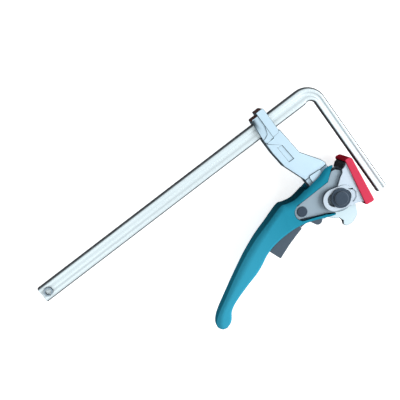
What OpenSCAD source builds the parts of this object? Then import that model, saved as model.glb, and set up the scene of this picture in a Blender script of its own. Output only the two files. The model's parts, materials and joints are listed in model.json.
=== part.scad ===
// Quick release bar clamp: a bent profile rail, a sliding arm and a squeeze lever
// with a ratchet, a release trigger and a soft capped pad.
// The clamp lies on its side. +X is the way the jaws open, +Y runs from the rail to
// the jaw tips, +Z stands up from the side it lies on. The origin is the middle of
// the fixed jaw's clamping face.

/* [Rail and fixed jaw] */
// Length of the rail, from the fixed jaw's outer face to its free end
rail_len = 256; // [200:1:320]
// Width of the rail, seen from the side
rail_w = 12.5; // [11:0.1:14]
// Thickness of the rail
rail_t = 7; // [6:0.1:8]
// Throat, from the rail's inner edge to the middle of the jaws
throat = 70.5; // [66:0.5:80]
// Thickness of the fixed jaw, along the clamping force
jaw_t = 8.6; // [7.6:0.1:9.6]
// Reach of the fixed jaw past the middle of the jaws
jaw_tip = 17.4; // [14:0.1:24]
// Outer radius of the bend
bend_r = 15.2; // [14:0.2:20]
// Depth of the groove in each wide side of the rail
groove_d = 0.8; // [0.4:0.1:1.2]
// Width of that groove
groove_w = 3.9; // [3:0.1:5]
// Radius of the stop pin's hole
stop_hole_r = 3.4; // [3:0.1:3.6]
// Distance from the stop pin to the rail's free end
stop_inset = 5.6; // [5:0.1:9]
// Height that the stop pin stands out of the rail
stop_proud = 1.6; // [1:0.1:2.4]

/* [Sliding arm] */
// Distance from the fixed jaw's face to the lever's pivot
pivot_x = 27.4; // [27:0.1:34]
// Thickness of the collar that runs on the rail
collar_t = 16; // [15:0.5:20]
// Wall of the collar over the rail's outer edge
collar_wall = 6; // [4:0.1:7]
// Thickness of the arm's shank
shank_t = 12.8; // [12:0.1:14]
// Thickness of the arm's hub, between the lever plates
hub_t = 11.4; // [11:0.1:11.8]
// Radius of the arm's hub
hub_r = 11.7; // [10.5:0.1:11.8]
// Height of the raised block above the shank's lower end
block_h = 1.8; // [1:0.1:2]
// Depth of the plain panel sunk in the shank
panel_d = 0.8; // [0.4:0.1:1.5]

/* [Ratchet] */
// Thickness of the toothed sector
sector_t = 4; // [3:0.1:4.2]
// Radius over the sector's teeth
tooth_r = 17.6; // [16.5:0.1:18]
// Depth of a tooth
tooth_d = 0.9; // [0.6:0.1:1.2]
// Angle between teeth
tooth_step = 4.5; // [4:0.5:6]
// Radius of the sector's stop lobe
lobe_r = 25; // [23:0.1:26]

/* [Lever] */
// Thickness of a lever plate
plate_t = 2.4; // [2:0.1:2.6]
// Thickness of the grip's side walls at the head
grip_wall = 2.9; // [2.6:0.1:3.4]
// Radius of the grip's edges along its back
back_edge_r = 6; // [3:0.5:7]
// Radius of the grip's edges along its open side
front_edge_r = 2.4; // [1:0.1:3]
// Radius of the pivot pin
pivot_r = 5; // [4:0.1:5.2]
// Radius of the pivot pin's flange and of its washer
flange_r = 7.6; // [7:0.1:8]
// Radius of the trigger pin
trigger_pin_r = 3; // [2.5:0.1:3.2]
// Radius of the trigger pin's heads
trigger_head_r = 4; // [3.8:0.1:4.4]

/* [Pad] */
// Distance from the pivot to the pad's clamping face
pad_reach = 21.9; // [21.5:0.1:22.2]
// Lean of the pad from the fixed jaw
pad_tilt = 6.5; // [5:0.5:8]
// Thickness of the soft cap over the holder's front
cap_wall = 2.6; // [2:0.1:2.8]
// Thickness of the pad holder's front web
web_t = 3.1; // [2.8:0.1:3.4]
// Thickness of a cheek of the pad holder
cheek_t = 2.6; // [2.2:0.1:3]
// Height of the raised rim round the holder's slot
rim_h = 1; // [0.5:0.1:1.2]
// Wall of that rim
rim_wall = 3.5; // [3.5:0.1:4.4]
// Lean of the slot from the clamping force
slot_tilt = 17; // [14:0.5:20]
// Length of the slot past the pin, on the side that closes
slot_close = 5; // [4:0.1:6.5]
// Length of the slot past the pin, on the side that opens
slot_open = 3.4; // [3.2:0.1:3.6]

/* [Fits] */
// Gap between the rail and the collar
rail_gap = 0.35; // [0.25:0.05:0.6]
// Gap between flat parts that slide past each other
side_gap = 0.3; // [0.2:0.05:0.4]
// Running clearance of a pin in its hole, on the radius
pin_gap = 0.08; // [0.03:0.01:0.1]
// Gap between the cap and the holder inside it
cap_gap = 0.15; // [0.1:0.05:0.3]

/* [Hidden] */
$fn = 48;
eps = 0.01;

// Where the rail lies
rail_y1 = -throat;
rail_y0 = rail_y1 - rail_w;
rail_x0 = -jaw_t;
rail_x1 = rail_x0 + rail_len;

// Heights of the layers at the head, counted from the mid plane
hub_z = hub_t / 2;
plate_z0 = hub_z + side_gap;
plate_z1 = plate_z0 + plate_t;
cheek_z0 = plate_z1 + side_gap + 0.1;
cheek_z1 = cheek_z0 + cheek_t;
rim_z = cheek_z1 + rim_h;
grip_z0 = plate_z1 + side_gap;
grip_z1 = grip_z0 + grip_wall;
flange_z = rim_z + 0.2;
flange_t = 1.6;
button_r = 5.4;
button_h = 2;
groove_ring_t = 1.2;
washer_z1 = flange_z + flange_t;
pin_tail_z = washer_z1 + side_gap + groove_ring_t + 0.9;

// Points of the head, measured from the pivot
trigger_axis = [28.9, -8.4];
spacer_axis = [46, -12.4];
spacer_r = 2.4;
sector_rivet_at = [1.5, -13.6];
sector_rivet_r = 1.5;
slot_r = pivot_r + pin_gap;
rim_r = slot_r + rim_wall;
pawl_t = sector_t;
trigger_core = 5.6;
trigger_wide = 8.1;

// Steel colours
steel = [0.80, 0.83, 0.86];
forged = [0.84, 0.87, 0.90];
dark_steel = [0.22, 0.27, 0.35];

// ---- helpers ----

// Points of an arc about c, from angle a0 to a1
function arc(c, r, a0, a1, n = 8) =
    [for (i = [0:n]) let (a = a0 + (a1 - a0) * i / n) c + r * [cos(a), sin(a)]];

// Catmull-Rom curve through rows of numbers, with k steps between rows
function blend_rows(p0, p1, p2, p3, t) =
    0.5 * ((2 * p1) + (p2 - p0) * t + (2 * p0 - 5 * p1 + 4 * p2 - p3) * t * t
    + (3 * p1 - p0 - 3 * p2 + p3) * t * t * t);
function smooth_rows(rows, k) =
    let (n = len(rows) - 1)
    [for (i = [0:n * k])
        let (j = min(floor(i / k), n - 1), t = i / k - j)
        blend_rows(rows[max(j - 1, 0)], rows[j], rows[j + 1], rows[min(j + 2, n)], t)];

// A closed skin over rings of points, all rings with the same number of points
module skin(rings) {
    n = len(rings);
    m = len(rings[0]);
    points = [for (ring = rings) each ring];
    sides = [for (i = [0:n - 2], j = [0:m - 1]) let (k = (j + 1) % m)
        each [[i * m + j, i * m + k, (i + 1) * m + k], [i * m + j, (i + 1) * m + k, (i + 1) * m + j]]];
    first = [for (j = [1:m - 2]) [0, j + 1, j]];
    last = [for (j = [1:m - 2]) (n - 1) * m * [1, 1, 1] + [0, j, j + 1]];
    polyhedron(points, faces = concat(sides, first, last));
}

module at_pivot() { translate([pivot_x, 0, 0]) children(); }

// Local frame of the pad: x points at the fixed jaw, y at the rail, origin at the pivot
module pad_frame() { at_pivot() rotate([0, 0, 180 - pad_tilt]) children(); }

// A slab of a flat outline between two heights
module slab(z0, z1) { translate([0, 0, z0]) linear_extrude(z1 - z0) union() { children(); } }

// The same slab above and below the mid plane
module both_sides(z0, z1) {
    slab(z0, z1) children();
    slab(-z1, -z0) children();
}

// ---- rail ----

// Section of the rail: width along x, thickness along y, grooved on both wide sides
function rail_section(w, t, r = 1.5) =
    let (g = groove_w / 2, d = groove_d, u = w / 2 - r, v = t / 2 - r)
    concat(
        arc([u, -v], r, -90, 0, 4), arc([u, v], r, 0, 90, 4),
        [[g, t / 2], [g - 0.5, t / 2 - d], [0.5 - g, t / 2 - d], [-g, t / 2]],
        arc([-u, v], r, 90, 180, 4), arc([-u, -v], r, 180, 270, 4),
        [[-g, -t / 2], [0.5 - g, d - t / 2], [g - 0.5, d - t / 2], [g, -t / 2]]);

// One ring of the bend at angle a, 0 at the jaw's end and 90 at the rail's end
function bend_ring(a) =
    let (
        w = jaw_t + (rail_w - jaw_t) * a / 90,
        t = rail_t,
        middle = bend_r - w / 2,
        c = [rail_x0 + bend_r, rail_y0 + bend_r],
        out = [-cos(a), -sin(a)])
    [for (p = rail_section(w, t)) let (q = c + (middle + p[0]) * out) [q[0], q[1], p[1]]];

module rail() color(steel) {
    difference() {
        // straight bar
        translate([rail_x0 + bend_r - eps, (rail_y0 + rail_y1) / 2, 0]) rotate([90, 0, 90])
            linear_extrude(rail_len - bend_r + eps) polygon(rail_section(rail_w, rail_t));
        translate([rail_x1 - stop_inset, (rail_y0 + rail_y1) / 2, -rail_t])
            cylinder(r = stop_hole_r, h = 2 * rail_t);
    }
    // fixed jaw
    translate([-jaw_t / 2, jaw_tip, 0]) rotate([90, 0, 0])
        linear_extrude(jaw_tip - rail_y0 - bend_r + eps) polygon(rail_section(jaw_t, rail_t));
    skin([for (a = [0:6:90]) bend_ring(a)]);
}

// Slotted spring pin that stops the sliding arm
module rail_stop_pin() color(dark_steel)
    translate([rail_x1 - stop_inset, (rail_y0 + rail_y1) / 2, 0]) difference() {
        cylinder(r = stop_hole_r - 0.02, h = rail_t + 2 * stop_proud, center = true);
        cylinder(r = stop_hole_r - 1.2, h = rail_t + 3 * stop_proud, center = true);
        translate([0, stop_hole_r / 2, 0])
            cube([0.9, stop_hole_r * 2, rail_t + 3 * stop_proud], center = true);
    }

// ---- sliding arm ----

shank_outline = [
    [6, rail_y1 + 2.5], [3.9, -45.5], [-5.9, -31], [-7.1, -27.6], [-7.1, -16],
    [-10.2, -5.8], [0, 0], [11.4, -2.6], [12.7, -16], [13.2, -26.4],
    [19.6, -43.7], [20.9, -57], [20.9, rail_y1 + 2.5]
];

module collar_body() {
    top = rail_y0 - collar_wall;
    z = collar_t / 2;
    // upper band, towards the fixed jaw
    slab(-z, z) polygon([
        [7.2, top + 0.8], [8.2, top], [13.6, top], [13.6, rail_y1 + 3.4],
        [9, rail_y1 + 3.4], [7.2, rail_y1 + 1.8]]);
    // lower band, away from the fixed jaw
    slab(1 - z, z - 1) polygon([
        [13, top + 2.6], [18.6, top + 2.6], [19.4, top + 3.4], [20.9, rail_y1 + 4.5], [13, rail_y1 + 4.5]]);
    // raised facets below the rail
    slab(0.4 - z, z - 0.4) polygon(concat(
        [[13, rail_y1 - 9]], arc([13, rail_y1], 7.6, 70, 8, 4) - [for (i = [0:4]) [0, 8 - 2 * i]],
        [[19.6, rail_y1 + 4.8], [12, rail_y1 + 3.4]]));
}

module sliding_arm() color(forged) difference() {
    union() {
        at_pivot() {
            collar_body();
            slab(-shank_t / 2, shank_t / 2) intersection() {
                polygon(shank_outline);
                translate([-20, rail_y1]) square([60, -rail_y1 - 25.5]);
            }
            slab(-hub_z, hub_z) polygon(shank_outline);
            slab(-hub_z, hub_z) circle(r = hub_r);
            // raised block just above the lever
            both_sides(hub_z - 1, hub_z + block_h) polygon([
                [-0.6, -25.9], [8.4, -26.6], [9.4, -25.4], [9.4, -19], [-0.6, -19]]);
        }
    }
    // the rail runs through the collar
    translate([pivot_x, (rail_y0 + rail_y1) / 2, 0])
        cube([80, rail_w + 2 * rail_gap, rail_t + 2 * rail_gap], center = true);
    at_pivot() {
        cylinder(r = pivot_r + pin_gap, h = 40, center = true);
        translate(sector_rivet_at) cylinder(r = sector_rivet_r + 0.05, h = 40, center = true);
        // slot for the toothed sector
        slab(-sector_t / 2 - 0.1, sector_t / 2 + 0.1) translate([-30, -18.2]) square([60, 60]);
        // plain sunk panels
        both_sides(shank_t / 2 - panel_d, shank_t) polygon([[11.4, -57.8], [15.4, -58.4], [14.8, -44.4], [10.2, -44.2]]);
        // pocket for the return spring, in the rear ear
        translate([0, 0, -hub_z - eps]) cylinder(r = spring_pocket_r, h = spring_pocket_h);
        translate([spring_r - 1.2, -15.4, -hub_z - eps]) cube([2.4, 15.4, spring_pocket_h]);
    }
}

// ---- ratchet ----

teeth_a0 = 6;
teeth_n = 13;
teeth_a1 = teeth_a0 + teeth_n * tooth_step;
function tooth_points() = [for (i = [0:teeth_n - 1]) let (a = teeth_a0 + i * tooth_step)
    each [tooth_r * [cos(a), sin(a)], (tooth_r - tooth_d) * [cos(a + 0.35 * tooth_step), sin(a + 0.35 * tooth_step)]]];

module ratchet_sector() color(steel) at_pivot() difference() {
    slab(-sector_t / 2, sector_t / 2) {
        polygon(concat(
            [[-9.4, -8], [-3.6, -16.6], [5.4, -16.6], [11, -4]],
            tooth_points(),
            [[7.2, 19.2], [8.6, 21.6]], arc([0, 0], lobe_r, 73, 86, 3),
            [[-1.9, 23.7], [-5.1, 21.7], [-7.5, 16.4], [-8.8, 12.2], [-10.6, 5]]));
    }
    cylinder(r = pivot_r + pin_gap, h = 40, center = true);
    translate(sector_rivet_at) cylinder(r = sector_rivet_r + 0.05, h = 40, center = true);
}

module sector_rivet() color(dark_steel) at_pivot() translate(sector_rivet_at)
    cylinder(r = sector_rivet_r, h = hub_t - 0.2, center = true);

// ---- pivot ----

module pivot_pin() color(dark_steel) at_pivot() {
    translate([0, 0, -pin_tail_z]) difference() {
        cylinder(r = pivot_r, h = pin_tail_z + flange_z);
        // groove for the retaining ring
        translate([0, 0, 0.9]) difference() {
            cylinder(r = pivot_r + 1, h = groove_ring_t + 0.1);
            cylinder(r = pivot_r - 0.8, h = groove_ring_t + 0.1);
        }
    }
    translate([0, 0, flange_z]) cylinder(r = flange_r, h = flange_t);
    translate([0, 0, flange_z]) cylinder(r = button_r, h = flange_t + button_h - 0.6);
    translate([0, 0, flange_z + flange_t + button_h - 0.6])
        cylinder(r1 = button_r, r2 = button_r - 0.6, h = 0.6);
}

module pivot_washer() color(dark_steel) at_pivot() translate([0, 0, -washer_z1]) difference() {
    cylinder(r = flange_r, h = flange_t);
    cylinder(r = pivot_r + 0.1, h = 3 * flange_t, center = true);
}

module pivot_retaining_ring() color(dark_steel) at_pivot()
    translate([0, 0, 0.05 - pin_tail_z + 0.9]) difference() {
        cylinder(r = pivot_r + 1.6, h = groove_ring_t);
        cylinder(r = pivot_r - 0.75, h = 3 * groove_ring_t, center = true);
        translate([0, -5, 0]) cube([4, 10, 10], center = true);
    }

// ---- springs ----

// Round wire swept along points, as a tube with flat ends
function tube_ring(p, dir, r, sides) =
    let (z = abs(dir[2]) > 0.8 ? [1, 0, 0] : [0, 0, 1],
        a = cross(dir, z) / norm(cross(dir, z)), b = cross(dir, a))
    [for (i = [0:sides - 1]) let (t = 360 * i / sides) p + r * (cos(t) * a + sin(t) * b)];
module wire(path, r, sides = 6) {
    n = len(path) - 1;
    skin([for (i = [0:n])
        let (d = path[min(i + 1, n)] - path[max(i - 1, 0)])
        tube_ring(path[i], d / norm(d), r, sides)]);
}

spring_wire_r = 0.5;
spring_r = 6.9;
spring_turns = 1.25;
spring_pitch = 1.15;
spring_pocket_r = spring_r + 1.3;
spring_pocket_h = spring_turns * spring_pitch + 2 * spring_wire_r + 0.3;

// Torsion spring that opens the lever: it sits in the arm's rear ear
module lever_return_spring() color(dark_steel) at_pivot() {
    z0 = -hub_z + spring_wire_r + 0.15;
    turns = [for (i = [0:30]) let (a = 360 * spring_turns * i / 30)
        [spring_r * cos(a), spring_r * sin(a), z0 + spring_pitch * spring_turns * i / 30]];
    leg = [[spring_r, -14.6, z0], [spring_r, -5, z0]];
    wire(concat(leg, turns), spring_wire_r);
}

coil_wire_r = 0.45;
coil_r = 4.35;
coil_turns = 2.25;
coil_pitch = 1.02;

// Torsion spring that pushes the trigger out
module trigger_spring() color(dark_steel) at_pivot() translate(trigger_axis) {
    z0 = -trigger_core + coil_wire_r + 0.1;
    turns = [for (i = [0:48]) let (a = 180 + 360 * coil_turns * i / 48)
        [coil_r * cos(a), coil_r * sin(a), z0 + coil_pitch * coil_turns * i / 48]];
    back_leg = [[-coil_r + 1.2, -6.6, z0], [-coil_r, -3, z0]];
    wire(concat(back_leg, turns), coil_wire_r);
}

// ---- lever ----

module plate_body(z0, z1) {
    slab(z0, z1) circle(r = 11);
    slab(z0, z1) polygon([
        [-9.6, -19.2], [-13.1, -15.8], [-12, -12.6], [-8.6, -6.8], [0, 11], [5.6, 9.5],
        [31, -3.4], [28.9, -14], [12, -16.2], [-1, -16.1], [-6.4, -19.7]]);
    slab(z0, z1) translate(trigger_axis) circle(r = 5.5);
    slab(z0, z1) polygon([[28, -13.9], [31, -3.4], [47.4, -9.3], [46, -15.8]]);
    slab(z0, z1) translate(spacer_axis) circle(r = 3.4);
}

module lever_plate(z0) at_pivot() difference() {
    union() { plate_body(z0, z0 + plate_t); }
    cylinder(r = pivot_r + pin_gap, h = 60, center = true);
    translate(trigger_axis) cylinder(r = trigger_pin_r + pin_gap, h = 60, center = true);
    translate(spacer_axis) cylinder(r = 1.6 + pin_gap, h = 60, center = true);
}
module lever_plate_front() color([0.66, 0.67, 0.75]) lever_plate(plate_z0);
module lever_plate_rear() color([0.66, 0.67, 0.75]) lever_plate(-plate_z1);

module trigger_pin() color(dark_steel) at_pivot() translate(trigger_axis) {
    cylinder(r = trigger_pin_r, h = 2 * plate_z1, center = true);
    for (side = [0, 1]) mirror([0, 0, side]) translate([0, 0, plate_z1 + 0.02]) {
        cylinder(r = trigger_head_r, h = 0.6);
        translate([0, 0, 0.6]) cylinder(r1 = trigger_head_r, r2 = trigger_head_r - 0.4, h = 0.4);
    }
    cylinder(r = trigger_pin_r, h = 2 * plate_z1 + 0.4, center = true);
}

module plate_spacer() color(steel) at_pivot() translate(spacer_axis) difference() {
    cylinder(r = spacer_r, h = 2 * plate_z0 - 0.04, center = true);
    cylinder(r = 1.6 + 0.05, h = 60, center = true);
}

module plate_rivet() color(dark_steel) at_pivot() translate(spacer_axis)
    cylinder(r = 1.6, h = 2 * plate_z1 + 0.2, center = true);

// Stations along the grip: back edge x, y, front edge x, y, half width
grip_rows = [
    [-10.5, -24.2, 10.2, 9, grip_z1], [-4.5, -25.4, 13, 8, grip_z1],
    [3, -23, 17.5, 6.1, grip_z1], [12, -21.8, 23, 3.6, grip_z1],
    [20, -20.3, 28.5, 1.4, grip_z1], [28, -19.3, 34.6, -0.4, grip_z1],
    [34.6, -20.6, 40, -1.4, grip_z1], [37.8, -21.9, 44.5, -1.8, grip_z1],
    [40.2, -21.9, 48, -1.8, grip_z1 - 0.2], [45, -20.7, 54, -1.6, grip_z1 - 0.4],
    [54.6, -17.6, 62, -0.5, grip_z1 - 0.7], [66.7, -14, 69.4, 1.9, grip_z1 - 1.1],
    [79.9, -8.7, 76.4, 5.7, grip_z1 - 1.5], [91, -3.3, 84, 9, grip_z1 - 1.9],
    [102.1, 2.6, 93, 11.5, grip_z1 - 2.3], [113, 8.8, 103, 14.6, grip_z1 - 2.7],
    [121.2, 13.4, 111.1, 17.6, grip_z1 - 3], [127.7, 17.6, 116.5, 21, grip_z1 - 3.3],
    [131.8, 21.9, 119.6, 25.1, grip_z1 - 3.6], [132.7, 25.7, 122.5, 28.1, grip_z1 - 4.6],
    [131.2, 28.8, 126.3, 30.3, grip_z1 - 7.2]
];

// A rounded oblong between the back and the front edge of a station
function grip_ring(row) =
    let (
        back = [row[0], row[1]], front = [row[2], row[3]], hw = row[4],
        c = (back + front) / 2, a = norm(back - front) / 2, e = (back - front) / (2 * a))
    [for (k = [0:3], j = [0:6])
        let (t = 90 * k + 15 * j, su = k == 0 || k == 3 ? 1 : -1, sv = k < 2 ? 1 : -1,
            r = min(su > 0 ? back_edge_r : front_edge_r, 0.9 * a, 0.9 * hw),
            q = c + (su * (a - r) + r * cos(t)) * e)
        [q[0], q[1], sv * (hw - r) + r * sin(t)]];

// The opening at the head, where the lever plates show: above and below it the
// grip runs on as two fingers
function window_points() = concat(
    [[-60, -40], [-14, -27], [-10.8, -22.8], [-7.1, -21.5], [-3.4, -18.4], [0.6, -15.2], [30, -14.8]],
    arc(trigger_axis, 6.3, -80, 65, 8),
    [[15.4, 3.6], [10.2, 6.9], [4, 11], [-60, 40]]);

module grip_cavity() {
    slab(-grip_z0, grip_z0) polygon([
        [-60, -40], [17.2, -40], [17.2, -16], [30, -15.7], [38, -17.8], [44, -17.2],
        [60, -12.2], [70, -8.2], [72.5, -5], [72, 14], [40, 30], [-60, 60]]);
}

module lever_grip() color([0.16, 0.62, 0.70]) at_pivot() difference() {
    skin([for (row = smooth_rows(grip_rows, 3)) grip_ring(row)]);
    grip_cavity();
    slab(-30, 30) polygon(window_points());
}

// ---- trigger and pawl ----

trigger_outline = concat(
    [[62.9, 11], [60, 9.8], [51.2, 6.5], [42, 3.7], [35, 1.9], [30.6, 1.6], [28, 3]],
    arc([tooth_r + 5.2, 5.4], 3.6, 20, 150, 6),
    [[tooth_r, 2], [tooth_r + 3, -5.4]],
    arc(trigger_axis, 5.4, 180, 280, 5),
    [[43, -5.2], [56, -2.4], [66.6, 0.9]]);

module trigger() color([0.28, 0.32, 0.38]) at_pivot() difference() {
    union() {
        slab(-trigger_core, trigger_core) polygon(trigger_outline);
        // wide finger rest
        slab(-trigger_wide, trigger_wide) intersection() {
            polygon(trigger_outline);
            translate([36.5, -2.4]) square([40, 40]);
        }
    }
    translate(trigger_axis) cylinder(r = trigger_pin_r + pin_gap, h = 60, center = true);
    // slot for the pawl
    slab(-pawl_t / 2 - 0.15, pawl_t / 2 + 0.15) polygon([
        [10, -20], [34.8, -20], [34.8, -3], [31, 2.6], [24.2, 7.8], [10, 14]]);
    // room for the spring beside the pawl
    translate(concat(trigger_axis, -trigger_core - eps))
        cylinder(r = coil_r + 1.5, h = trigger_core - pawl_t / 2);
    translate([20, -20, -trigger_core - eps]) cube([8.9, 11.6, trigger_core - pawl_t / 2]);
}

pawl_tip = (tooth_r + 0.35) * [cos(28), sin(28)];

module pawl() color(steel) at_pivot() difference() {
    union() {
        slab(-pawl_t / 2, pawl_t / 2) translate(trigger_axis) circle(r = 5);
        slab(-pawl_t / 2, pawl_t / 2) polygon([
            [24.2, -6], [tooth_r + 2, 0.2], pawl_tip, pawl_tip + [1.55, 0.57],
            pawl_tip + [5.15, -0.43], [26, 3.4], [31.5, -4]]);
    }
    translate(trigger_axis) cylinder(r = trigger_pin_r + pin_gap, h = 60, center = true);
}

// ---- pad ----

web_u1 = pad_reach - cap_wall - cap_gap;
web_u0 = web_u1 - web_t;
web_z = cheek_z1 + 0.3;
cap_z = web_z + 1.4;
nose_u = 11.5;
web_top = 21.2;
web_bottom = -13.2;
slot_dir = [-cos(slot_tilt), sin(slot_tilt)];
slot_far = -slot_close * slot_dir;
slot_near = slot_open * slot_dir;

// An obround between the slot's two end centres
module obround(r)
    polygon(concat(
        arc(slot_far, r, -90 - slot_tilt, 90 - slot_tilt, 24),
        arc(slot_near, r, 90 - slot_tilt, 270 - slot_tilt, 24)));

module pad_holder() color([0.72, 0.77, 0.83]) {
    difference() {
        union() {
            pad_frame() {
                // front web
                translate([web_u0, web_bottom, -web_z]) cube([web_t, web_top - web_bottom, 2 * web_z]);
                // solid top between the cheeks, that the lever's noses push on
                slab(-cheek_z0 - 0.5, cheek_z0 + 0.5) polygon([
                    [web_u0 + 1, 13.6], [web_u0 + 1, web_top - 0.5], [14.6, web_top - 0.5],
                    [12.4, 18.4], [nose_u, 17.2], [nose_u, 13.6]]);
            }
            at_pivot() {
                both_sides(cheek_z0, rim_z) obround(rim_r);
                both_sides(cheek_z0, cheek_z1) polygon(cheek_outline);
            }
        }
        at_pivot() slab(-60, 60) obround(slot_r);
        // shallow pocket beside the pin
        at_pivot() both_sides(cheek_z1 - 0.8, rim_z + 1) polygon([
            [-8.6, -2.2], [-11.4, -0.4], [-12.4, 3.6], [-10.4, 7.2], [-6.8, 8.8], [-5.6, 7.6], [-8.2, 4], [-9, 0.4]]);
    }
}

// A point of the pad's frame, seen from the pivot
function pad_point(u, w) = let (a = 180 - pad_tilt) [u * cos(a) - w * sin(a), u * sin(a) + w * cos(a)];

cheek_outline = [
    pad_point(web_u0 + 0.5, -13), pad_point(web_u0 + 0.5, web_top - 0.2), pad_point(14.4, web_top - 0.2),
    pad_point(11.8, 18.4), pad_point(10.4, 15.4), pad_point(7.4, 13.2), [-2, -7], [3, 0], [2.6, 7.2],
    [-3, 10.4], [-8, 11.4]];

// Side view of the cap, in the pad's frame
cap_profile = concat(
    arc([pad_reach - 1.8, web_bottom - 0.4], 1.8, -80, 0, 4),
    arc([pad_reach - 2.6, web_top - 0.4], 2.6, 0, 80, 5),
    arc([17.6, web_top + 0.8], 1.5, 90, 170, 3),
    [[16.2, web_top - 1.2], [14.3, web_bottom + 1.4]],
    arc([15.6, web_bottom - 0.6], 1.4, 190, 270, 3));

module pad_cap() color([0.90, 0.28, 0.36]) pad_frame() difference() {
    slab(-cap_z, cap_z) polygon(cap_profile);
    // pocket for the holder's web and lug
    slab(-web_z - cap_gap, web_z + cap_gap) polygon([
        [5, web_top + cap_gap], [web_u1 + cap_gap, web_top + cap_gap],
        [web_u1 + cap_gap, web_bottom - cap_gap], [5, web_bottom - cap_gap]]);
}

rail();
rail_stop_pin();
sliding_arm();
ratchet_sector();
sector_rivet();
pivot_pin();
pivot_washer();
pivot_retaining_ring();
lever_return_spring();
lever_plate_front();
lever_plate_rear();
lever_grip();
trigger_pin();
plate_spacer();
plate_rivet();
trigger();
pawl();
trigger_spring();
pad_holder();
pad_cap();
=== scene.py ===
import json
import math

import bmesh
import bpy
from mathutils import Matrix, Vector


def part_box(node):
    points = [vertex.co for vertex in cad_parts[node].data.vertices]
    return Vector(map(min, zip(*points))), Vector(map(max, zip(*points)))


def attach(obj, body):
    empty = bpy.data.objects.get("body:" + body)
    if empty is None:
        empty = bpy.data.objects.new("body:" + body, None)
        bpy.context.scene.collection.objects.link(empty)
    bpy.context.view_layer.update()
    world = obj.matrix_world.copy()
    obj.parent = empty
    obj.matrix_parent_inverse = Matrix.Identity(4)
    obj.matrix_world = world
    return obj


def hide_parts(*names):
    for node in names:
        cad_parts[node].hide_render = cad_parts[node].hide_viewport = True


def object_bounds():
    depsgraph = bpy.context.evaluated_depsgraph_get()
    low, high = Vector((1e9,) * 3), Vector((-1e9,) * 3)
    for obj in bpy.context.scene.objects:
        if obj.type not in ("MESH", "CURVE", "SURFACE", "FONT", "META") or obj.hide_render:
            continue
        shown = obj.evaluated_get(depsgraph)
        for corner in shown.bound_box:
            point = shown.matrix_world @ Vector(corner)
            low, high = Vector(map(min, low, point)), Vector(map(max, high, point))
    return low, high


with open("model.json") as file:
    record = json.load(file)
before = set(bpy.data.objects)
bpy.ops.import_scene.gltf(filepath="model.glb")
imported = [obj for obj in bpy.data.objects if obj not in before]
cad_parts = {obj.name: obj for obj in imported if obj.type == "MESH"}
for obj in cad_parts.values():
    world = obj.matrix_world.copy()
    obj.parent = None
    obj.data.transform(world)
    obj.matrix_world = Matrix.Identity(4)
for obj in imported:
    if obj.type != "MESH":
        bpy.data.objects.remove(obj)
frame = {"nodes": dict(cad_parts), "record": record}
cad_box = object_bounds()
nodes = frame["nodes"]

MM = 0.001
PIVOT = Vector((27.4, 0.0)) * MM

# How much of a face's normal points up or down: 0 on an upright side, 1 on a flat face.
SIDE_UNDER, SIDE_LIMIT = 0.20, 0.85
SLOPE_FROM, SLOPE_FULL = 0.10, 0.45
SLOPE_FADES, SLOPE_GONE = 0.75, 0.97


# ---------------------------------------------------------------- shader groups

def group(name, inputs, outputs):
    """An empty shader node group with named sockets."""
    tree = bpy.data.node_groups.new(name, "ShaderNodeTree")
    for label, kind, value in inputs:
        socket = tree.interface.new_socket(label, in_out="INPUT", socket_type=kind)
        socket.default_value = value
    for label, kind in outputs:
        tree.interface.new_socket(label, in_out="OUTPUT", socket_type=kind)
    return tree, tree.nodes.new("NodeGroupInput"), tree.nodes.new("NodeGroupOutput")


def add(tree, kind, **settings):
    """A node with its settings and plain input values; links are made apart."""
    node = tree.nodes.new(kind)
    for key, value in settings.items():
        if key in node.inputs:
            node.inputs[key].default_value = value
        else:
            setattr(node, key, value)
    return node


def ramp(tree, source, low, high):
    """A 0 to 1 mask that rises as source goes from low to high."""
    node = add(tree, "ShaderNodeMapRange", interpolation_type="SMOOTHSTEP")
    node.inputs["From Min"].default_value = low
    node.inputs["From Max"].default_value = high
    tree.links.new(source, node.inputs["Value"])
    return node.outputs["Result"]


def math_node(tree, operation, a, b=None):
    """A Math node; a and b are sockets or plain numbers."""
    node = add(tree, "ShaderNodeMath", operation=operation)
    for place, value in enumerate((a, b)):
        if value is None:
            continue
        if isinstance(value, (int, float)):
            node.inputs[place].default_value = value
        else:
            tree.links.new(value, node.inputs[place])
    return node.outputs["Value"]


def outline_group():
    """Masks from the form itself, which place painted shade and highlights: rounded edges, made patchy by
    noise, and faces that stand upright.
    """
    tree, given, out = group(
        "form_masks",
        [("Noise Scale", "NodeSocketFloat", 300.0), ("Side Limit", "NodeSocketFloat", SIDE_LIMIT)],
        [("Edge", "NodeSocketFloat"), ("Upright", "NodeSocketFloat")],
    )
    link = tree.links.new
    coords = add(tree, "ShaderNodeTexCoord")
    split = add(tree, "ShaderNodeSeparateXYZ")
    link(coords.outputs["Normal"], split.inputs["Vector"])
    flatness = math_node(tree, "ABSOLUTE", split.outputs["Z"])
    sides = ramp(tree, flatness, SIDE_UNDER, SIDE_LIMIT)
    link(given.outputs["Side Limit"], sides.node.inputs["From Max"])
    upright = math_node(tree, "SUBTRACT", 1.0, sides)
    not_flat = math_node(tree, "SUBTRACT", 1.0, ramp(tree, flatness, SLOPE_FADES, SLOPE_GONE))
    slope = math_node(tree, "MULTIPLY", ramp(tree, flatness, SLOPE_FROM, SLOPE_FULL), not_flat)
    noise = add(tree, "ShaderNodeTexNoise", Detail=3.0, Roughness=0.6)
    link(coords.outputs["Object"], noise.inputs["Vector"])
    link(given.outputs["Noise Scale"], noise.inputs["Scale"])
    broken = add(tree, "ShaderNodeMapRange")
    broken.inputs["To Min"].default_value = 0.75
    link(noise.outputs["Fac"], broken.inputs["Value"])
    link(math_node(tree, "MULTIPLY", slope, broken.outputs["Result"]), out.inputs["Edge"])
    link(upright, out.inputs["Upright"])
    return tree


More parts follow.
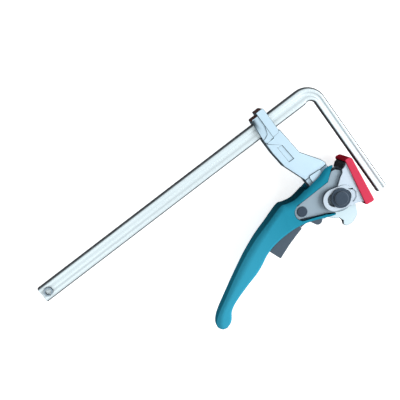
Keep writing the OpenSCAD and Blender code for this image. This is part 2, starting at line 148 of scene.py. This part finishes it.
def cast_skin_group():
    """Fine pebbling of a cast, blasted or moulded surface, and a soft colour mask."""
    tree, given, out = group(
        "cast_skin",
        [("Scale", "NodeSocketFloat", 1500.0)],
        [("Height", "NodeSocketFloat"), ("Cloud", "NodeSocketFloat")],
    )
    coords = add(tree, "ShaderNodeTexCoord")
    fine = add(tree, "ShaderNodeTexNoise", Detail=3.0, Roughness=0.55)
    broad = add(tree, "ShaderNodeTexNoise", Scale=60.0, Detail=2.0, Roughness=0.5)
    link = tree.links.new
    link(coords.outputs["Object"], fine.inputs["Vector"])
    link(coords.outputs["Object"], broad.inputs["Vector"])
    link(given.outputs["Scale"], fine.inputs["Scale"])
    link(fine.outputs["Fac"], out.inputs["Height"])
    link(broad.outputs["Fac"], out.inputs["Cloud"])
    return tree


def brushed_group():
    """Drawn or ground lines: noise stretched by a mapping."""
    tree, given, out = group(
        "drawn_lines",
        [("Stretch", "NodeSocketVector", (20.0, 900.0, 900.0))],
        [("Height", "NodeSocketFloat"), ("Streak", "NodeSocketFloat")],
    )
    coords = add(tree, "ShaderNodeTexCoord")
    mapping = add(tree, "ShaderNodeMapping")
    noise = add(tree, "ShaderNodeTexNoise", Scale=1.0, Detail=5.0, Roughness=0.6)
    link = tree.links.new
    link(coords.outputs["Object"], mapping.inputs["Vector"])
    link(given.outputs["Stretch"], mapping.inputs["Scale"])
    link(mapping.outputs["Vector"], noise.inputs["Vector"])
    link(noise.outputs["Fac"], out.inputs["Height"])
    link(ramp(tree, noise.outputs["Fac"], 0.35, 0.65), out.inputs["Streak"])
    return tree


FORM_MASKS = outline_group()
CAST_SKIN = cast_skin_group()
DRAWN_LINES = brushed_group()


def use_group(tree, source, **values):
    node = tree.nodes.new("ShaderNodeGroup")
    node.node_tree = source
    for key, value in values.items():
        node.inputs[key].default_value = value
    return node


def blank_material(name, color, roughness, metallic, specular=0.5):
    """A material with its Principled shader; constants sit on the shader's sockets."""
    material = bpy.data.materials.new(name)
    material.use_nodes = True
    shader = material.node_tree.nodes["Principled BSDF"]
    shader.inputs["Base Color"].default_value = (*color, 1.0)
    shader.inputs["Roughness"].default_value = roughness
    shader.inputs["Metallic"].default_value = metallic
    shader.inputs["Specular IOR Level"].default_value = specular
    return material, material.node_tree, shader


def mix_color(tree, factor, a, b):
    """A blend of two colours, which are plain colours or sockets."""
    node = add(tree, "ShaderNodeMix", data_type="RGBA")
    for place, value in (("A", a), ("B", b)):
        socket = [s for s in node.inputs if s.name == place and s.type == "RGBA"][0]
        if isinstance(value, tuple):
            socket.default_value = (*value, 1.0)
        else:
            tree.links.new(value, socket)
    tree.links.new(factor, node.inputs["Factor"])
    return [s for s in node.outputs if s.type == "RGBA"][0]


def bump(tree, height, shader, strength, distance):
    node = add(tree, "ShaderNodeBump", Strength=strength, Distance=distance)
    tree.links.new(height, node.inputs["Height"])
    tree.links.new(node.outputs["Normal"], shader.inputs["Normal"])


def spread(tree, mask, middle, swing, shader, form, dulling=0.5):
    """Roughness that swings about its middle with a mask, and rises on sides and edges."""
    rough = add(tree, "ShaderNodeMapRange")
    rough.inputs["To Min"].default_value = middle - swing
    rough.inputs["To Max"].default_value = middle + swing
    tree.links.new(mask, rough.inputs["Value"])
    turned = math_node(tree, "MAXIMUM", form.outputs["Edge"], form.outputs["Upright"])
    duller = math_node(tree, "ADD", rough.outputs["Result"], math_node(tree, "MULTIPLY", turned, dulling))
    tree.links.new(duller, shader.inputs["Roughness"])


def steel(name, color, streak_color, roughness, stretch, painted_side_shade, edge_highlight_and_shade, metallic,
          side_limit=SIDE_LIMIT, specular=0.5):
    """Plated or ground steel with drawn lines, painted shade on its upright sides, a painted edge colour
    (shade where it is darker, highlight where it is lighter), and duller sides and edges.
    """
    material, tree, shader = blank_material(name, color, roughness, metallic, specular)
    lines = use_group(tree, DRAWN_LINES, Stretch=stretch)
    form = use_group(tree, FORM_MASKS, **{"Side Limit": side_limit})
    body = mix_color(tree, lines.outputs["Streak"], color, streak_color)
    # Painted shade on upright sides; on rounded edges painted shade where the edge colour is darker, a
    # painted highlight where it is lighter.
    body = mix_color(tree, form.outputs["Upright"], body, painted_side_shade)
    body = mix_color(tree, form.outputs["Edge"], body, edge_highlight_and_shade)
    tree.links.new(body, shader.inputs["Base Color"])
    spread(tree, lines.outputs["Streak"], roughness, 0.01, shader, form)
    bump(tree, lines.outputs["Height"], shader, 0.01, 0.00002)
    return material


SHADOW_SPOT_BLUR = 0.4 * MM


def cast_metal(name, color, cloud_color, roughness, painted_side_shade, edge_highlight_and_shade, metallic, painted_shadow_spot=None):
    """Plated casting or forging with a fine pebbled skin, painted shade on its upright sides, a painted edge
    colour (shade where it is darker, highlight where it is lighter), and at most one painted shadow spot.
    """
    material, tree, shader = blank_material(name, color, roughness, metallic, 0.2)
    skin = use_group(tree, CAST_SKIN, Scale=1400.0)
    form = use_group(tree, FORM_MASKS)
    body = mix_color(tree, skin.outputs["Cloud"], color, cloud_color)
    # Painted shade on upright sides; on rounded edges painted shade where the edge colour is darker, a
    # painted highlight where it is lighter.
    body = mix_color(tree, form.outputs["Upright"], body, painted_side_shade)
    body = mix_color(tree, form.outputs["Edge"], body, edge_highlight_and_shade)
    # The dark spot is a painted shadow: a dark disc where a recess lies in shade.
    if painted_shadow_spot:
        spot, radius, shadow_color = painted_shadow_spot
        coords = add(tree, "ShaderNodeTexCoord")
        reach = add(tree, "ShaderNodeVectorMath", operation="DISTANCE")
        flat = add(tree, "ShaderNodeVectorMath", operation="MULTIPLY")
        flat.inputs[1].default_value = (1.0, 1.0, 0.0)
        reach.inputs[1].default_value = spot
        tree.links.new(coords.outputs["Object"], flat.inputs[0])
        tree.links.new(flat.outputs["Vector"], reach.inputs[0])
        outside = ramp(tree, reach.outputs["Value"], radius - SHADOW_SPOT_BLUR, radius + SHADOW_SPOT_BLUR)
        inside = math_node(tree, "SUBTRACT", 1.0, outside)
        body = mix_color(tree, inside, body, shadow_color)
    tree.links.new(body, shader.inputs["Base Color"])
    spread(tree, skin.outputs["Cloud"], roughness, 0.05, shader, form)
    bump(tree, skin.outputs["Height"], shader, 0.25, 0.00006)
    return material


TAIL_FROM, TAIL_FULL = 30 * MM, 120 * MM


def moulded(name, color, cloud_color, roughness, painted_side_shade, grain=2200.0, strength=0.12,
            specular=0.04, tail_light_colors=None, edge_highlight_and_shade=None, side_limit=SIDE_LIMIT):
    """Moulded plastic with a fine grain, painted shade on its sides, a painted highlight on its edges where
    an edge colour is given, and painted light that makes it lighter towards its tail.
    """
    material, tree, shader = blank_material(name, color, roughness, 0.0, specular)
    skin = use_group(tree, CAST_SKIN, Scale=grain)
    form = use_group(tree, FORM_MASKS, **{"Side Limit": side_limit})
    body = mix_color(tree, skin.outputs["Cloud"], color, cloud_color)
    # Painted light: the grip and its sides are lighter towards the tail and darker near the head.
    if tail_light_colors:
        coords = add(tree, "ShaderNodeTexCoord")
        place = add(tree, "ShaderNodeSeparateXYZ")
        tree.links.new(coords.outputs["Object"], place.inputs["Vector"])
        tail = ramp(tree, place.outputs["X"], TAIL_FROM, TAIL_FULL)
        body = mix_color(tree, tail, body, tail_light_colors[0])
        painted_side_shade = mix_color(tree, tail, painted_side_shade, tail_light_colors[1])
    # Painted shade on the sides, and a painted highlight on the edges.
    body = mix_color(tree, form.outputs["Upright"], body, painted_side_shade)
    if edge_highlight_and_shade:
        body = mix_color(tree, form.outputs["Edge"], body, edge_highlight_and_shade)
    tree.links.new(body, shader.inputs["Base Color"])
    spread(tree, skin.outputs["Cloud"], roughness, 0.05, shader, form)
    bump(tree, skin.outputs["Height"], shader, strength, 0.00004)
    return material


EVEN_LINES = (700.0, 700.0, 700.0)

# Side colours are painted shade on upright faces. Edge colours are painted shade where darker than the body
# (rail, arm, sector, plates) and a painted highlight where lighter (pins, spring, holder, trigger).
rail_finish = steel(
    "rail_zinc", color=(0.80, 0.93, 0.98), streak_color=(0.81, 0.935, 0.98), roughness=0.27,
    stretch=(260.0, 260.0, 900.0), painted_side_shade=(0.020, 0.016, 0.024), edge_highlight_and_shade=(0.016, 0.021, 0.027),
    metallic=0.35, side_limit=0.8, specular=0.1)
arm_finish = cast_metal(
    "arm_plated_forging", color=(0.55, 0.75, 0.89), cloud_color=(0.60, 0.79, 0.92), roughness=0.42,
    painted_side_shade=(0.03, 0.05, 0.065), edge_highlight_and_shade=(0.03, 0.05, 0.065), metallic=0.3)
sector_finish = cast_metal(
    "sector_plated_steel", color=(0.62, 0.78, 0.86), cloud_color=(0.68, 0.84, 0.90), roughness=0.42,
    painted_side_shade=(0.015, 0.025, 0.035), edge_highlight_and_shade=(0.015, 0.025, 0.035), metallic=0.3)
dark_finish = steel(
    "blackened_steel", color=(0.022, 0.042, 0.070), streak_color=(0.028, 0.050, 0.080), roughness=0.5,
    stretch=EVEN_LINES, painted_side_shade=(0.016, 0.022, 0.032), edge_highlight_and_shade=(0.12, 0.16, 0.21), metallic=0.4)
spring_finish = steel(
    "spring_wire", color=(0.32, 0.33, 0.35), streak_color=(0.40, 0.41, 0.43), roughness=0.3,
    stretch=EVEN_LINES, painted_side_shade=(0.20, 0.21, 0.22), edge_highlight_and_shade=(0.5, 0.5, 0.52), metallic=0.9)
plate_finish = cast_metal(
    "phosphated_plate", color=(0.29, 0.38, 0.45), cloud_color=(0.32, 0.41, 0.48), roughness=0.5,
    painted_side_shade=(0.012, 0.020, 0.030), edge_highlight_and_shade=(0.012, 0.020, 0.030), metallic=0.4)
# The holder's dark spot is a painted shadow in the recess under the cap's hook; its light edges are a painted
# highlight.
holder_finish = cast_metal(
    "holder_casting", color=(0.52, 0.61, 0.71), cloud_color=(0.57, 0.67, 0.76), roughness=0.45,
    painted_side_shade=(0.12, 0.15, 0.19), edge_highlight_and_shade=(0.66, 0.76, 0.84), metallic=0.4,
    painted_shadow_spot=((0.0132, -0.0213, 0.0), 0.0048, (0.012, 0.014, 0.018)))
# The grip's tail colours are painted light, lighter towards the tail; its side colour is painted shade.
grip_finish = moulded(
    "teal_grip", color=(0.012, 0.26, 0.39), cloud_color=(0.015, 0.285, 0.42), roughness=0.5,
    painted_side_shade=(0.001, 0.030, 0.045), specular=0.02,
    tail_light_colors=((0.046, 0.42, 0.62), (0.010, 0.17, 0.26)), side_limit=0.5)
# Painted shade for the grip's rounded cut edges.
grip_cut_edge_shade = moulded(
    "teal_grip_edge_painted_shade", color=(0.001, 0.018, 0.030), cloud_color=(0.002, 0.022, 0.036),
    roughness=0.6, painted_side_shade=(0.001, 0.014, 0.024))
trigger_finish = moulded(
    "slate_trigger", color=(0.070, 0.105, 0.145), cloud_color=(0.080, 0.115, 0.155), roughness=0.45,
    painted_side_shade=(0.018, 0.026, 0.036), specular=0.3, edge_highlight_and_shade=(0.26, 0.33, 0.38))
# Painted shade: a dark brown-red for the collar's upright outer faces.
collar_end_shade = moulded(
    "collar_end_painted_shade", color=(0.075, 0.038, 0.034), cloud_color=(0.055, 0.028, 0.026), roughness=0.7,
    painted_side_shade=(0.060, 0.028, 0.026), grain=900.0, strength=0.4)
cap_finish = moulded(
    "red_cap", color=(0.76, 0.060, 0.12), cloud_color=(0.82, 0.070, 0.135), roughness=0.5,
    painted_side_shade=(0.36, 0.012, 0.026), specular=0.0)

NODE_FINISH = {
    "rail": rail_finish, "rail_stop_pin": plate_finish, "sliding_arm": arm_finish,
    "ratchet_sector": sector_finish, "sector_rivet": dark_finish, "pivot_pin": dark_finish,
    "pivot_washer": dark_finish, "pivot_retaining_ring": dark_finish,
    "lever_return_spring": spring_finish, "lever_plate_front": plate_finish,
    "lever_plate_rear": plate_finish, "lever_grip": grip_finish, "trigger_pin": dark_finish,
    "plate_spacer": arm_finish, "plate_rivet": dark_finish, "trigger": trigger_finish,
    "pawl": sector_finish, "trigger_spring": spring_finish, "pad_holder": holder_finish,
    "pad_cap": cap_finish,
}
for name, finish in NODE_FINISH.items():
    for slot in nodes[name].material_slots:
        slot.material = finish


# ---------------------------------------------------------------- finished pieces

BODIES = frame["record"]["behaviour"]["bodies"]
BODY_OF = {node: body for body, members in BODIES.items() for node in members}


def stand_in(shape, piece_name, node_name, smooth=40.0):
    """Makes the bmesh an object that stands for a CAD node and moves with its body."""
    mesh = bpy.data.meshes.new(piece_name)
    shape.to_mesh(mesh)
    shape.free()
    mesh.shade_smooth()
    mesh.set_sharp_from_angle(angle=math.radians(smooth))
    mesh.materials.append(NODE_FINISH[node_name])
    piece = bpy.data.objects.new(piece_name, mesh)
    bpy.context.collection.objects.link(piece)
    flat = piece.modifiers.new("flat_faces_stay_flat", "WEIGHTED_NORMAL")
    flat.keep_sharp = True
    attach(piece, BODY_OF[node_name])
    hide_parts(node_name)
    return piece


def round_edges(shape, edges, width, segments=2):
    return bmesh.ops.bevel(shape, geom=edges, offset=width, offset_type="OFFSET", segments=segments,
                           profile=0.5, affect="EDGES", clamp_overlap=False, material=-1)


def rounded_copy(node_name, width, fine_width, fine, sharp=32.0):
    """The node's own solid with its triangles joined and its sharp edges rounded.

    fine tells from an edge's middle whether it only has room for fine_width.
    """
    shape = bmesh.new()
    shape.from_mesh(nodes[node_name].data)
    bmesh.ops.remove_doubles(shape, verts=shape.verts, dist=1e-6)
    bmesh.ops.dissolve_limit(shape, angle_limit=math.radians(0.8), verts=shape.verts, edges=shape.edges)
    crisp = [e for e in shape.edges
             if len(e.link_faces) == 2 and e.calc_face_angle(0.0) > math.radians(sharp)]
    small = [e for e in crisp if fine((e.verts[0].co + e.verts[1].co) / 2)]
    shape.edges.index_update()
    fine_ids = {e.index for e in small}
    round_edges(shape, [e for e in crisp if e.index not in fine_ids], width)
    small = [e for e in small if e.is_valid]
    if small:
        round_edges(shape, small, fine_width, 1)
    return stand_in(shape, node_name + "_finished", node_name)


COLLAR_END = -85.2 * MM
LEANING = 0.6


def paint_collar_end_shade(piece):
    """The collar's upright outer faces get painted shade: a dark brown-red material in place of the plating.
    """
    piece.data.materials.append(collar_end_shade)
    for polygon in piece.data.polygons:
        if polygon.center.y < COLLAR_END and abs(polygon.normal.z) < LEANING:
            polygon.material_index = 1


CUT_ANGLE = math.radians(55)
CUT_FACE = 0.8


def joined_copy(node_name, smooth, width, cut_edge_shade):
    """The node's own solid with its triangles joined, and its cut edges rounded and given painted shade."""
    shape = bmesh.new()
    shape.from_mesh(nodes[node_name].data)
    bmesh.ops.remove_doubles(shape, verts=shape.verts, dist=1e-6)
    bmesh.ops.dissolve_limit(shape, angle_limit=math.radians(0.3), verts=shape.verts, edges=shape.edges)
    cut = [e for e in shape.edges
           if len(e.link_faces) == 2 and e.calc_face_angle(0.0) > CUT_ANGLE
           and max(abs(f.normal.z) for f in e.link_faces) > CUT_FACE]
    # The rounded cut edges take the dark material: painted shade.
    for face in round_edges(shape, cut, width)["faces"]:
        face.material_index = 1
    piece = stand_in(shape, node_name + "_finished", node_name, smooth)
    piece.data.materials.append(cut_edge_shade)
    return piece


# Rounding of each piece's sharp edges, in millimetres.
EDGE_WIDTH = {
    "sliding_arm": 0.8, "lever_plate_front": 0.55, "lever_plate_rear": 0.55, "pad_holder": 0.4,
    "pad_cap": 0.8, "ratchet_sector": 0.75, "trigger": 0.7, "pivot_pin": 0.35, "trigger_pin": 0.15,
}
FINE_WIDTH = 0.2
TEETH_REACH = 20.5 * MM


def among_teeth(p):
    return (p.xy - PIVOT).length < TEETH_REACH


def on_arm_steps(p):
    """The collar's bands, the sunk panel's rim and the foot of the raised block."""
    x = p.x - PIVOT.x
    collar = p.y < -66.4 * MM
    panel = -60 * MM < p.y < -43 * MM and 9 * MM < x < 16.2 * MM
    block = p.y > -27.4 * MM and -1.2 * MM < x < 10 * MM
    return collar or panel or block


def in_holder_pocket(p):
    x = p.x - PIVOT.x
    return -13 * MM < x < -5 * MM and -2.6 * MM < p.y < 9 * MM and abs(p.z) > 10 * MM


FINE_EDGES = {
    "ratchet_sector": among_teeth,
    "sliding_arm": on_arm_steps,
    "pad_holder": in_holder_pocket,
}
for name, width in EDGE_WIDTH.items():
    copy = rounded_copy(name, width * MM, FINE_WIDTH * MM, FINE_EDGES.get(name, lambda middle: False))
    if name == "sliding_arm":
        paint_collar_end_shade(copy)


def rail_bar():
    """The rail: one fluted bar, swept from its free end round the bend to the fixed jaw's tip."""
    width, thick, jaw_width, bend = 12.5 * MM, 7.0 * MM, 8.6 * MM, 15.2 * MM
    corner, flute, flank, flute_depth = 2.4 * MM, 3.2 * MM, 2.9 * MM, 0.8 * MM
    steps, bend_step, rim = 6, 5, 0.5 * MM
    low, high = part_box("rail")
    left, bottom = -jaw_width, low[1]
    centre = Vector((left + bend, bottom + bend, 0.0))

    def station(turn, at=None):
        wide = jaw_width + (width - jaw_width) * turn / 90.0
        out = Vector((-math.cos(math.radians(turn)), -math.sin(math.radians(turn)), 0.0))
        along = Vector((-out.y, out.x, 0.0))
        origin = centre + out * (bend - wide / 2)
        if at:
            origin += along * at
        grid = Matrix.Identity(4)
        grid.col[0].xyz = out * (wide / width)
        grid.col[1].xyz = Vector((0.0, 0.0, 1.0))
        grid.col[2].xyz = along
        grid.col[3].xyz = origin
        return grid

    quarter = []
    for i in range(steps + 1):
        x = flute - flank * (1 - i / steps)
        quarter.append((x, thick / 2 - flute_depth * (0.5 + 0.5 * math.cos(math.pi * i / steps))))
    quarter.insert(0, (0.0, quarter[0][1]))
    for i in range(steps + 1):
        a = math.radians(90 - 90 * i / steps)
        quarter.append((width / 2 - corner + corner * math.cos(a), thick / 2 - corner + corner * math.sin(a)))
    half = quarter + [(x, -y) for x, y in reversed(quarter)]
    outline = half + [(-x, y) for x, y in reversed(half)][1:-1]
    shape = bmesh.new()
    ring = [shape.verts.new((x, y, 0.0)) for x, y in outline]
    face = shape.faces.new(ring)
    free_end = station(90.0, high[0] - centre.x)
    round_bend = [station(90.0 - bend_step * i) for i in range(round(90 / bend_step) + 1)]
    jaw_tip = station(0.0, centre.y - high[1])
    stations = [free_end, *round_bend, jaw_tip]
    bmesh.ops.transform(shape, matrix=stations[0], verts=shape.verts)
    for before, after in zip(stations, stations[1:]):
        grown = bmesh.ops.extrude_face_region(shape, geom=[face])["geom"]
        face = [g for g in grown if isinstance(g, bmesh.types.BMFace)][0]
        bmesh.ops.transform(shape, matrix=after @ before.inverted(), verts=face.verts)
    bmesh.ops.recalc_face_normals(shape, faces=shape.faces)
    rims = [e for e in shape.edges if e.calc_face_angle(0.0) > math.radians(50)]
    round_edges(shape, rims, rim)
    return stand_in(shape, "rail_finished", "rail", 35.0)


rail_bar()
joined_copy("lever_grip", 40.0, 0.4 * MM, grip_cut_edge_shade)


# ---------------------------------------------------------------- camera, light, floor

camera_data = bpy.data.cameras.new("camera")
camera_data.sensor_width = 36.0
camera_data.lens = 72.653
camera_data.clip_start = 0.01
camera_data.clip_end = 20.0
camera = bpy.data.objects.new("camera", camera_data)
camera.matrix_world = Matrix((
    (-0.79417745, -0.60762475, 0.00862248, 0.11708938),
    (0.594562, -0.77988066, -0.19565835, -0.1793639),
    (0.12561136, -0.15026085, 0.98063421, 0.59151704),
    (0.0, 0.0, 0.0, 1.0),
))
bpy.context.collection.objects.link(camera)
bpy.context.scene.camera = camera
right = camera.matrix_world.col[0].xyz
up = camera.matrix_world.col[1].xyz


CLAMP_MIDDLE = Vector((0.10, -0.03, 0.0))


def lamp(name, direction, distance, size, power):
    """A soft square lamp that shines on the middle of the clamp."""
    data = bpy.data.lights.new(name, "AREA")
    data.shape = "SQUARE"
    data.size = size
    data.energy = power
    thing = bpy.data.objects.new(name, data)
    thing.location = CLAMP_MIDDLE + direction.normalized() * distance
    thing.rotation_euler = direction.to_track_quat("Z", "Y").to_euler()
    bpy.context.collection.objects.link(thing)


lamp("key", right * 1.1 + up * 0.1 + Vector((0, 0, 0.75)), distance=1.3, size=0.8, power=13.0)
lamp("fill", -right * 0.5 - up * 0.3 + Vector((0, 0, 1.3)), distance=1.3, size=0.9, power=1.5)

# The world's strength as light; rays in seen_ray meet it at 1, which is plain white.
SKY = 0.42
world = bpy.data.worlds.new("studio")
bpy.context.scene.world = world
world.use_nodes = True
world.node_tree.nodes["Background"].inputs["Color"].default_value = (1.0, 1.0, 1.0, 1.0)


def seen_ray(tree):
    """1 for rays of the camera, of mirror-like surfaces and through glass; else 0."""
    path = add(tree, "ShaderNodeLightPath")
    direct = math_node(tree, "MAXIMUM", path.outputs["Is Camera Ray"], path.outputs["Is Glossy Ray"])
    return math_node(tree, "MAXIMUM", direct, path.outputs["Is Transmission Ray"])


background = world.node_tree.nodes["Background"]
lift = math_node(world.node_tree, "MULTIPLY", seen_ray(world.node_tree), 1.0 - SKY)
world.node_tree.links.new(math_node(world.node_tree, "ADD", lift, SKY), background.inputs["Strength"])
bpy.context.scene.view_settings.view_transform = "Standard"


FLOOR_GLOW = 0.7
FLOOR_REACH = 4.0
FLOOR_GAP = 0.0002


def white_floor():
    """Pale floor that the camera sees as plain white, under the clamp."""
    shape = bmesh.new()
    bmesh.ops.create_grid(shape, x_segments=1, y_segments=1, size=FLOOR_REACH)
    bmesh.ops.translate(shape, verts=shape.verts, vec=(0.1, 0.0, cad_box[0][2] - FLOOR_GAP))
    mesh = bpy.data.meshes.new("floor")
    shape.to_mesh(mesh)
    shape.free()
    floor = bpy.data.objects.new("floor", mesh)
    bpy.context.collection.objects.link(floor)
    material = bpy.data.materials.new("floor_white")
    material.use_nodes = True
    tree = material.node_tree
    shader = tree.nodes["Principled BSDF"]
    shader.inputs["Base Color"].default_value = (0.85, 0.85, 0.85, 1.0)
    shader.inputs["Roughness"].default_value = 0.9
    glow = tree.nodes.new("ShaderNodeEmission")
    both = tree.nodes.new("ShaderNodeAddShader")
    link = tree.links.new
    link(math_node(tree, "MULTIPLY", seen_ray(tree), FLOOR_GLOW), glow.inputs["Strength"])
    link(shader.outputs["BSDF"], both.inputs[0])
    link(glow.outputs["Emission"], both.inputs[1])
    link(both.outputs["Shader"], tree.nodes["Material Output"].inputs["Surface"])
    mesh.materials.append(material)


white_floor()
